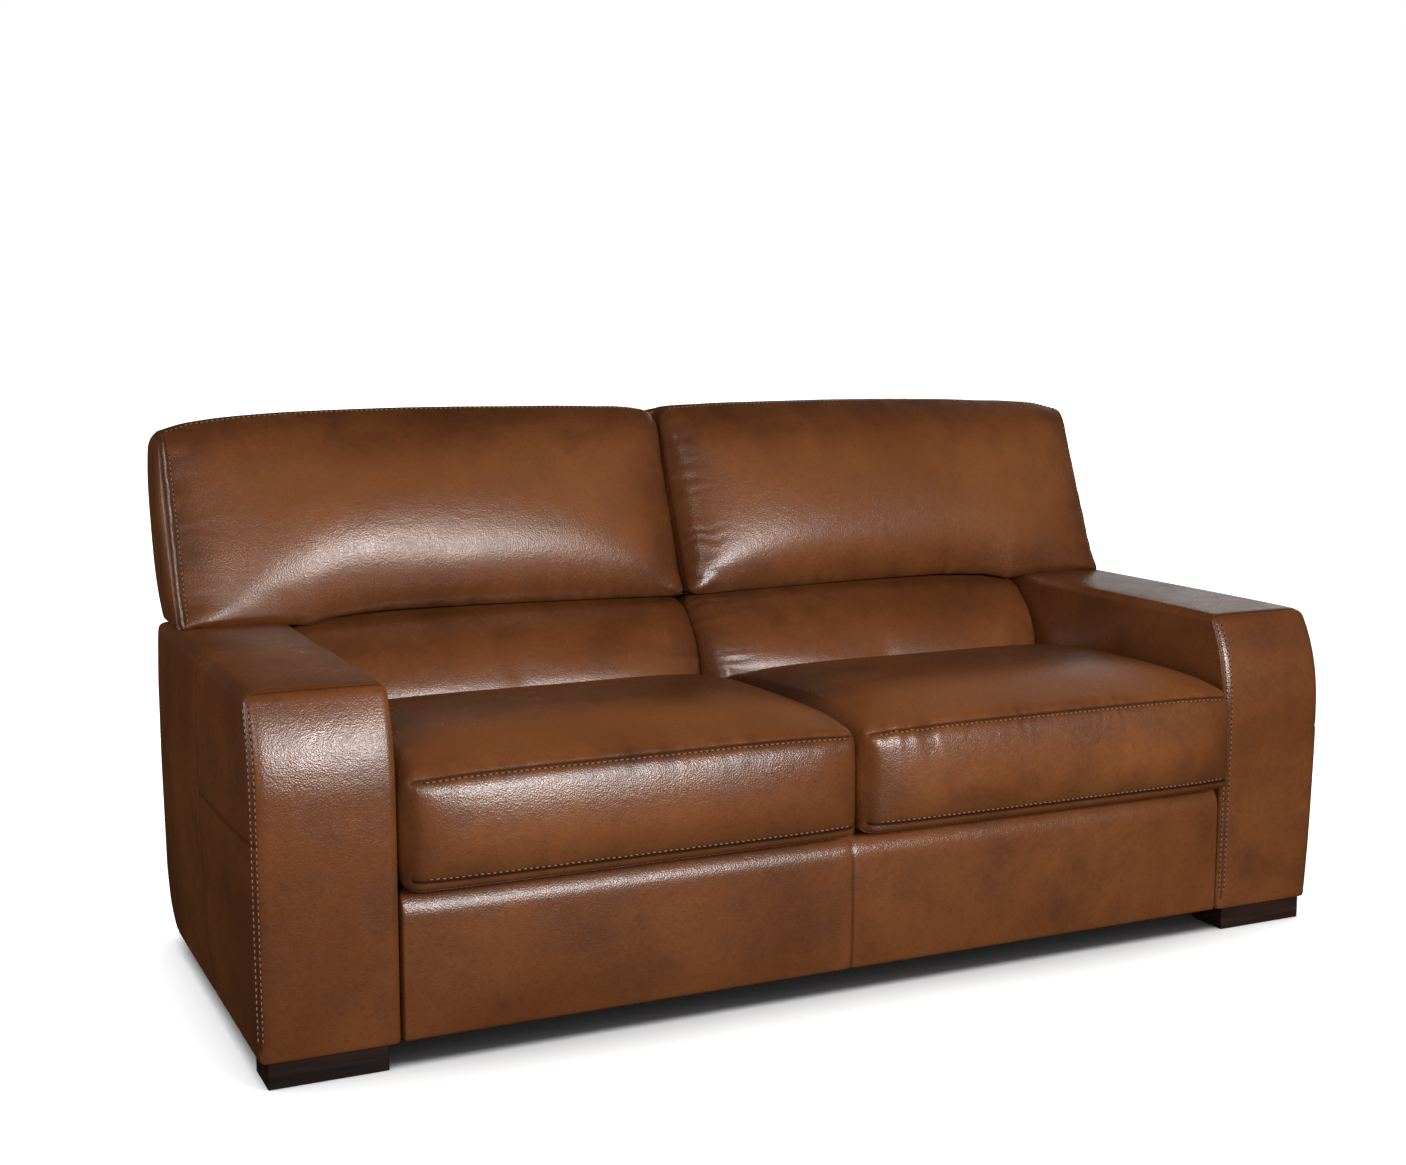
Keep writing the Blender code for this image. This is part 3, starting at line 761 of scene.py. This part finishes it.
def lumbar_pad(side, sign):
    """The low back pad: a soft roll that leans back under the tall cushion."""
    size = (SEAT_OUTER - BACK_GAP, 0.185, 0.330)
    radii = ((0.036, 0.020), (0.036, 0.0), (0.0, 0.026))

    def shape(u, v, w):
        pinch = 0.003 * (1 - hump(w, 4))
        x = sign * lerp(BACK_GAP + 0.3 * pinch, SEAT_OUTER - 0.001, u)
        top = 0.613 + 0.012 * hump(u, 3) - 0.006 * u
        z = lerp(LUMBAR_BOTTOM, top, w)
        crown = 0.044 * hump(u, 3.4) * hump((z - 0.36) / 0.26, 2.0) * (z > 0.36)
        return x, lerp(lumbar_profile(z) - crown, 0.776, v), z

    block = Block(f"lumbar_pad_{side}", size, radii, shape)
    _, ny, nz = block.last
    held = block.on(lambda i, j, k: (j == ny) | (k == 0) | ((k == nz) & (j > ARC)))
    block.inner_seam = block.line(2, i=ARC, j=0)
    return {"block": block, "held": held, "slack": 0.003, "bending": 0.7,
            "walls": (BACK_GAP / 2, SEAT_OUTER + 0.0006)}


def back_profile(z):
    """Depth of the tall cushion's front seams at a height."""
    return smooth_ramp(z, [(0.600, 0.664), (0.64, 0.684), (0.75, 0.730), (0.88, 0.784), (0.95, 0.812),
                           (1.0, 0.846)])


def back_crown(w):
    """How the tall cushion's fullness is shared over its height: most of it sits low."""
    return smooth_ramp(w, [(0.0, 0.0), (0.10, 0.36), (0.20, 0.64), (0.32, 0.87), (0.48, 1.0), (0.64, 0.95),
                           (0.80, 0.70), (0.92, 0.33), (1.0, 0.0)])


def back_top(x):
    """Height of the tall back's top line: a dip in the middle and rounded shoulders."""
    line = smooth_ramp(np.abs(x), [(0.0, 0.980), (0.03, 0.986), (0.12, 0.991), (0.30, 0.994), (0.62, 0.994),
                                   (0.81, 0.988), (0.90, 0.981), (0.96, 0.972), (1.01, 0.958)])
    return line + 0.006 * smooth_step(0.80, 0.96, x)


def back_cushion(side, sign):
    """The tall raked cushion that runs out over the arm's top."""
    size = (BACK_OUTER - BACK_GAP, 0.120, 0.385)
    radii = ((0.030, 0.005), (0.028, 0.0), (0.018, 0.034))

    def shape(u, v, w):
        pinch = 0.004 * (1 - hump(w, 5))
        x = sign * lerp(BACK_GAP + 0.2 * pinch, BACK_OUTER - 0.003, u)
        low = ramp(np.abs(x), [(0.0, 0.6125), (0.15, 0.6165), (0.45, 0.622), (0.62, 0.623), (0.72, 0.617),
                               (0.775, 0.605), (0.83, 0.610), (0.90, 0.610), (1.01, 0.609)])
        fullness = 0.070 if side == "left" else 0.064
        crown = fullness * pillow(hump(u, 3.4), back_crown(w))
        droop = 0.008 * smooth_step(0.16, 0.0, w) * smooth_step(0.70, 0.97, u)
        z = lerp(low, back_top(x), w)
        front = back_profile(z) - crown - droop
        return x, lerp(front, back_profile(z) + 0.070, v), z

    block = Block(f"back_cushion_{side}", size, radii, shape)
    nx, ny, nz = block.last
    block.end_seam = block.line(2, i=nx - ARC, j=0)
    block.top_seam = block.line(0, j=ARC, k=nz)
    block.inner_seam = block.line(2, i=ARC, j=0)
    block.low_seam = block.line(0, j=ARC, k=0)
    held = block.top_seam + block.low_seam + block.on(
        lambda i, j, k: (j == ny) | (i == nx) | ((k == 0) & (j > ARC)) | ((k == nz) & (j > ARC)))
    return {"block": block, "held": held, "slack": -0.002, "bending": 0.8,
            "walls": (BACK_GAP / 2, BACK_OUTER - 0.001)}


def arm(side, sign):
    """A broad arm: leaning front, swollen outer side and soft top edges."""
    size = (HALF_WIDTH - ARM_INNER, 0.86, ARM_TOP - SKIRT)
    radii = ((0.015, 0.020), (0.010, 0.110), (0.0, 0.015))

    def shape(u, v, w):
        z = lerp(SKIRT, ARM_TOP, w)
        swell = ramp(z, [(0.05, 0.0), (0.15, 0.005), (0.35, 0.011), (0.50, 0.011), (0.58, 0.006),
                         (0.61, 0.0)])
        belly = 0.008 * hump((z - 0.05) / 0.56, 2.6) * smooth_step(0.5, 0.0, v) * (sign > 0)
        outer = HALF_WIDTH - 0.004 + swell * hump(v, 3) ** 0.6 + belly
        x = sign * lerp(ARM_INNER, outer, u)
        lean = smooth_ramp(z, [(0.04, 0.0), (0.25, -0.002), (0.40, -0.004), (0.47, -0.002), (0.52, 0.006),
                               (0.56, 0.018), (0.59, 0.031), (0.615, 0.044)])
        front = lean - 0.004 * hump(u, 3) * hump(w, 3)
        rear = 0.86 - ramp(z, [(0.048, 0.076), (0.060, 0.044), (0.085, 0.018), (0.14, 0.0)])
        return x, lerp(front, rear, v), z + 0.006 * hump(u, 5) * hump(v, 3) ** 0.5 * w

    block = Block(f"arm_{side}", size, radii, shape, cell=0.011)
    nx, _, nz = block.last
    block.outer_front = block.line(2, i=nx, j=2)
    block.inner_front = block.line(2, i=2, j=0)
    block.top_front = block.line(0, j=2, k=nz)
    panel, yoke = block.nearest(1, 0.39), block.nearest(2, 0.34)
    block.side_seam = block.line(2, i=nx, j=panel)
    block.side_yoke = [v for v in block.line(1, i=nx, k=yoke) if block.steps[v][1] <= panel]
    return block


def front_rail():
    """The padded leather over the front rail, with its middle seam."""
    half = ARM_INNER - 0.0015
    size = (2 * half, 0.052, RAIL_TOP - SKIRT)
    radii = ((0.006, 0.006), (0.028, 0.0), (0.0, 0.042))

    def shape(u, v, w):
        front = 0.001 - 0.005 * hump(u, 12) * hump(w, 3.0)
        return lerp(-half, half, u), lerp(front, 0.054, v), lerp(SKIRT, RAIL_TOP, w)

    return Block("front_rail_leather", size, radii, shape, cell=0.010)


def outside_back():
    """The boxed border of the back: its ends, top and rear."""
    size = (2 * BACK_OUTER, 0.150, 0.375)
    radii = ((0.018, 0.018), (0.002, 0.028), (0.0, 0.030))

    def shape(u, v, w):
        edge = BACK_OUTER + 0.012 * hump(w, 3) * hump(v, 4)
        x = lerp(-edge, edge, u)
        z = lerp(0.6115, back_top(x) - 0.004, w)
        rear = ramp(z, [(0.612, 0.862), (0.75, 0.897), (0.88, 0.930), (0.94, 0.944), (0.987, 0.940)])
        near = 0.014 + 0.040 * smooth_step(0.94, 0.86, np.abs(x))
        return x, lerp(back_profile(z) + near, rear, v), z

    return Block("outside_back_leather", size, radii, shape, cell=0.012)


def rear_apron():
    """The flat leather panel behind the seat, between the arms."""
    half = ARM_INNER + 0.014
    size = (2 * half, 0.012, 0.62 - CLEARANCE)
    radii = ((0.004, 0.004), (0.0, 0.004), (0.0, 0.0))

    def shape(u, v, w):
        puff = 0.006 * hump(u, 8) * hump(w, 6)
        return lerp(-half, half, u), lerp(0.8525, 0.8585 + puff, v), lerp(CLEARANCE, 0.625, w)

    return Block("rear_apron_leather", size, radii, shape, cell=0.014)


def build_soft():
    """Makes, inflates and finishes every leather piece."""
    jobs = {}
    for side, sign in SIDES:
        jobs[f"seat_{side}"] = seat_cushion(side, sign)
        jobs[f"lumbar_{side}"] = lumbar_pad(side, sign)
        jobs[f"back_{side}"] = back_cushion(side, sign)
    hold_and_inflate(list(jobs.values()))
    for side, sign in SIDES:
        finish_seat(jobs[f"seat_{side}"]["block"], side, sign)
        finish_lumbar(jobs[f"lumbar_{side}"]["block"], side, sign)
        finish_back(jobs[f"back_{side}"]["block"], side, sign)
        finish_arm(arm(side, sign), side)
    finish_rail(front_rail())
    for block in (outside_back(), rear_apron()):
        subdivide(block.obj)
        finish_piece(block.obj, ["outside_back_cover"])


def seam_path(obj, vertices, skip=0):
    """The places of a row of vertices, without the first and last few."""
    path = get_coords(obj)[vertices]
    return path[skip: len(path) - skip]


def finish_seat(block, side, sign):
    obj, body = block.obj, f"seat_cushion_{side}"
    subdivide(obj)
    seam = seam_path(obj, block.seam)
    low = seam_path(obj, block.low_seam)
    shade_edges(block, painted_shade=0.26, painted_light=0.34)
    shade_low(obj, painted_shade=0.22, top=0.46, bottom=0.30)
    shade_seat_top(obj)
    gather(obj, seam, height=0.0006, pitch=0.020, reach=0.030, seed=11.0 + sign)
    if side == "right":
        gather(obj, seam, height=0.0028, pitch=0.013, reach=0.026, seed=14.0, span=(0.03, 0.17, 0.03))
    sew(obj, seam, depth=0.0026, shade=0.65)
    sew(obj, low, depth=0.0020, shade=0.7)
    finish_piece(obj, [f"seat_cover_{side}", f"seat_foam_{side}"], body)
    top_row, low_row = (seam_path(obj, line, skip=4) for line in (block.seam, block.low_seam))
    stitches(f"seat_thread_top_{side}", obj, top_row, across=0.006, toward=(0, -1, -0.6), body=body)
    stitches(f"seat_thread_low_{side}", obj, low_row, across=0.005, toward=(0, 0, 1), body=body)


def finish_lumbar(block, side, sign):
    obj = block.obj
    subdivide(obj)
    shade_edges(block, painted_shade=0.30, painted_light=0.30)
    height = 0.0036 if side == "right" else 0.0024
    gather(obj, seam_path(obj, block.inner_seam), height, pitch=0.013, reach=0.045, seed=5.0 + sign)
    finish_piece(obj, [f"lumbar_cover_{side}", f"lumbar_foam_{side}"])


def finish_back(block, side, sign):
    obj = block.obj
    subdivide(obj)
    end, top = seam_path(obj, block.end_seam), seam_path(obj, block.top_seam)
    inner, low = seam_path(obj, block.inner_seam), seam_path(obj, block.low_seam)
    shade_edges(block, painted_shade=0.26, painted_light=0.48)
    gather(obj, inner, height=0.0016, pitch=0.015, reach=0.028, seed=21.0 + sign)
    gather(obj, end, height=0.0012, pitch=0.015, reach=0.034, seed=51.0 + sign)
    gather(obj, top, height=0.0012, pitch=0.022, reach=0.030, seed=31.0 + sign)
    gather(obj, low, height=0.0014, pitch=0.024, reach=0.030, seed=41.0 + sign)
    sew(obj, end, depth=0.0001, shade=0.5)
    finish_piece(obj, [f"back_cover_{side}", f"back_foam_{side}"])
    end_row, top_row = (seam_path(obj, line, skip=4) for line in (block.end_seam, block.top_seam))
    stitches(f"back_thread_end_{side}", obj, end_row, across=0.005, toward=(-sign, 0, 0))
    stitches(f"back_thread_top_{side}", obj, top_row, across=0.004, toward=(0, -1, 0))


def finish_arm(block, side):
    """The front seam is on the arm's outer edge on the left and on its inner edge on the right."""
    obj = block.obj
    subdivide(obj)
    shade_low(obj, painted_shade=0.20)
    if side == "left":
        front_seam, front_depth = block.outer_front, 0.0014
    else:
        front_seam, front_depth = block.inner_front, 0.0004
    front = seam_path(obj, front_seam, skip=2)
    top = seam_path(obj, block.top_front, skip=2)
    sew(obj, front, front_depth, shade=0.6)
    sew(obj, top, depth=0.0018, shade=0.6)
    for line in (block.side_seam, block.side_yoke):
        sew(obj, seam_path(obj, line), depth=0.0012, shade=0.45)
    finish_piece(obj, [f"arm_cover_{side}"])
    row = seam_path(obj, front_seam, skip=3)
    stitches(f"arm_thread_front_{side}", obj, row, across=0.005, toward=(1, 0, 0))
    stitches(f"arm_thread_side_{side}", obj, row, across=0.005, toward=(-1, 0, 0))


def finish_rail(block):
    obj = block.obj
    subdivide(obj)
    shade_low(obj, painted_shade=0.24)
    middle = block.nearest(0, block.lines[0][-1] / 2)
    sew(obj, seam_path(obj, block.line(2, i=middle, j=0)), depth=0.0014, shade=0.5)
    finish_piece(obj, ["front_rail_cover"])


# ---------------------------------------------------------------- studio


# Brightness by direction: from, to, and the strengths there. DOME and BACKDROP_FOOT and _TOP go by Z,
# DOME_REAR and BACKDROP by Y, and BACKDROP_SIDE by X.
DOME = (0.0, 1.0, 0.18, 0.34)
DOME_REAR = (-1.0, 1.0, 1.15, 0.65)
BACKDROP = (0.2, 0.8, 0.04, 1.40)
BACKDROP_FOOT = (0.0, 0.12, 0.04, 1.0)
BACKDROP_TOP = (0.28, 0.60, 1.0, 0.15)
BACKDROP_SIDE = (0.42, 0.72, 0.02, 1.0)
FLOOR_WASH = 5.4
FLOOR_WASH_SPREAD = 72
FLOOR_REACH = 40.0

# Name, place, aim, size and power
SOFTBOXES = (
    ("softbox_front", (0.45, -4.3, 1.75), (-0.3, 0.2, 0.6), (1.4, 0.7), 166.0),
    ("softbox_left", (-2.6, -3.6, 2.2), (-0.8, 0.2, 0.6), (0.8, 0.7), 31.0),
    ("fill_left", (-4.5, 0.6, 1.5), (-1.0, 0.0, 0.4), (1.6, 1.6), 50.0),
)

CAMERA_LENS = 48.6
CAMERA_PLACE = (-1.588, -3.218, 1.159)
CAMERA_DOWN = 7.75
CAMERA_TURN = 25.14


def area_light(name, place, aim, size, power):
    data = bpy.data.lights.new(name, "AREA")
    data.shape = "RECTANGLE"
    data.size, data.size_y = size
    data.energy = power
    light = bpy.data.objects.new(name, data)
    light.location = place
    light.rotation_euler = (Vector(aim) - Vector(place)).to_track_quat("-Z", "Y").to_euler()
    bpy.context.scene.collection.objects.link(light)
    return light


def studio_world():
    """A dome that is brighter overhead. Reflections see a dim room with a bright wall behind the sofa."""
    world = bpy.data.worlds.new("studio_world")
    world.use_nodes = True
    tree = world.node_tree
    back = tree.nodes["Background"]
    back.inputs["Color"].default_value = rgb(1.0, 1.0, 1.0)
    place = tree.nodes.new("ShaderNodeTexCoord")
    split = tree.nodes.new("ShaderNodeSeparateXYZ")
    ray = tree.nodes.new("ShaderNodeLightPath")
    tree.links.new(place.outputs["Generated"], split.inputs[0])

    def span(source, low, high, to_low, to_high):
        node = tree.nodes.new("ShaderNodeMapRange")
        keys = ("From Min", "From Max", "To Min", "To Max")
        for key, value in zip(keys, (low, high, to_low, to_high)):
            node.inputs[key].default_value = value
        tree.links.new(source, node.inputs["Value"])
        return node.outputs[0]

    def choose(test, off, on):
        node = tree.nodes.new("ShaderNodeMix")
        tree.links.new(test, node.inputs["Factor"])
        tree.links.new(off, node.inputs["A"])
        if isinstance(on, float):
            node.inputs["B"].default_value = on
        else:
            tree.links.new(on, node.inputs["B"])
        return node.outputs["Result"]

    def multiply(a, b):
        node = tree.nodes.new("ShaderNodeMath")
        node.operation = "MULTIPLY"
        tree.links.new(a, node.inputs[0])
        tree.links.new(b, node.inputs[1])
        return node.outputs[0]

    dome = multiply(span(split.outputs["Z"], *DOME), span(split.outputs["Y"], *DOME_REAR))
    backdrop = span(split.outputs["Y"], *BACKDROP)
    for axis, edge in (("Z", BACKDROP_FOOT), ("Z", BACKDROP_TOP), ("X", BACKDROP_SIDE)):
        backdrop = multiply(backdrop, span(split.outputs[axis], *edge))
    lit = choose(ray.outputs["Is Glossy Ray"], dome, backdrop)
    seen = choose(ray.outputs["Is Camera Ray"], lit, 1.0)
    tree.links.new(seen, back.inputs["Strength"])
    return world


def light_only(floor, wash, others):
    """The wash lights the floor alone, and the other lights leave the floor out."""
    washed = bpy.data.collections.new("washed_floor")
    washed.objects.link(floor)
    wash.light_linking.receiver_collection = washed
    left_out = bpy.data.collections.new("floor_left_out")
    left_out.objects.link(floor)
    left_out.collection_objects[0].light_linking.link_state = "EXCLUDE"
    for light in others:
        light.light_linking.receiver_collection = left_out


def studio():
    scene = bpy.context.scene
    scene.view_settings.view_transform = "Standard"
    mesh = bpy.data.meshes.new("studio_floor")
    corners = ((-1, -1), (1, -1), (1, 1), (-1, 1))
    mesh.from_pydata([(x * FLOOR_REACH, y * FLOOR_REACH, 0) for x, y in corners], [], [(0, 1, 2, 3)])
    mesh.materials.append(floor_material())
    floor = bpy.data.objects.new("studio_floor", mesh)
    scene.collection.objects.link(floor)
    floor.visible_diffuse = floor.visible_glossy = False

    scene.world = studio_world()
    softboxes = [area_light(*box) for box in SOFTBOXES]
    wash = bpy.data.objects.new("floor_wash", bpy.data.lights.new("floor_wash", "SUN"))
    wash.data.energy = FLOOR_WASH
    wash.data.angle = math.radians(FLOOR_WASH_SPREAD)
    scene.collection.objects.link(wash)
    light_only(floor, wash, softboxes)

    data = bpy.data.cameras.new("camera")
    data.sensor_width = 36.0
    data.lens = CAMERA_LENS
    camera = bpy.data.objects.new("camera", data)
    camera.location = CAMERA_PLACE
    camera.rotation_euler = (math.radians(90 - CAMERA_DOWN), 0.0, math.radians(-CAMERA_TURN))
    scene.collection.objects.link(camera)
    scene.camera = camera


dress_frame()
build_soft()
studio()
